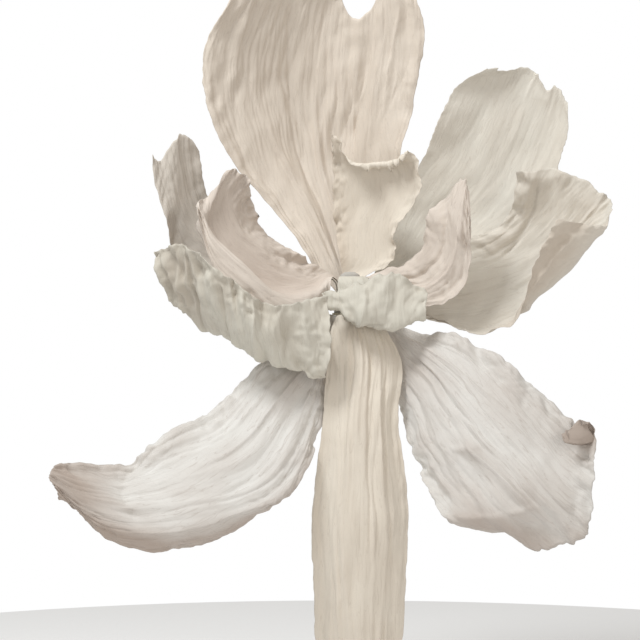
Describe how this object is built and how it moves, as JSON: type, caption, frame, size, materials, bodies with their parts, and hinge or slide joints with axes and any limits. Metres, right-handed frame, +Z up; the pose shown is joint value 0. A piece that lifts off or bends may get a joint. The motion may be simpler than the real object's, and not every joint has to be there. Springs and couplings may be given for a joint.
{
  "type": "giant paper flower",
  "caption": "Giant white paper flower on a wooden stem: wired, wrinkled paper petals, upright above and drooping below, glued round a pulp core.",
  "frame": {"origin": "middle of the stem's flat lower end", "axes": "+Z up along the stem, -Y towards the flower's front, +X to the right as seen from the front"},
  "size_m": [1.4826, 0.6966, 1.9853],
  "materials": {
    "petal_paper": "matte wrinkled white paper",
    "covered_wire": "steel wire wound with white paper",
    "pulp": "rough papier-mache",
    "paper_tape": "matte crinkled paper tape",
    "stem_wood": "plain sanded beech"
  },
  "bodies": {
    "root": {"petal_top": "petal_paper", "petal_top_inner": "petal_paper", "petal_right_back": "petal_paper", "petal_right_front": "petal_paper", "petal_right_inner": "petal_paper", "petal_lip": "petal_paper", "petal_left_back": "petal_paper", "petal_left_mid": "petal_paper", "petal_left_front": "petal_paper", "petal_lower_left": "petal_paper", "petal_bottom": "petal_paper", "petal_lower_right": "petal_paper", "rib_wire_top": "covered_wire", "rib_wire_top_inner": "covered_wire", "rib_wire_right_back": "covered_wire", "rib_wire_right_front": "covered_wire", "rib_wire_right_inner": "covered_wire", "rib_wire_left_back": "covered_wire", "rib_wire_left_mid": "covered_wire", "rib_wire_lower_left": "covered_wire", "rib_wire_bottom": "covered_wire", "rib_wire_lower_right": "covered_wire", "side_wire_top_1": "covered_wire", "side_wire_top_2": "covered_wire", "side_wire_right_back_1": "covered_wire", "side_wire_right_back_2": "covered_wire", "side_wire_right_front_1": "covered_wire", "side_wire_lower_left_1": "covered_wire", "side_wire_lower_right_1": "covered_wire", "side_wire_lower_right_2": "covered_wire", "core": "pulp", "stem_rod": "stem_wood", "tape_band_fall": "paper_tape", "tape_band_whorl": "paper_tape", "tape_band_throat": "paper_tape", "neck_tape": "paper_tape"}
  },
  "joints": []
}
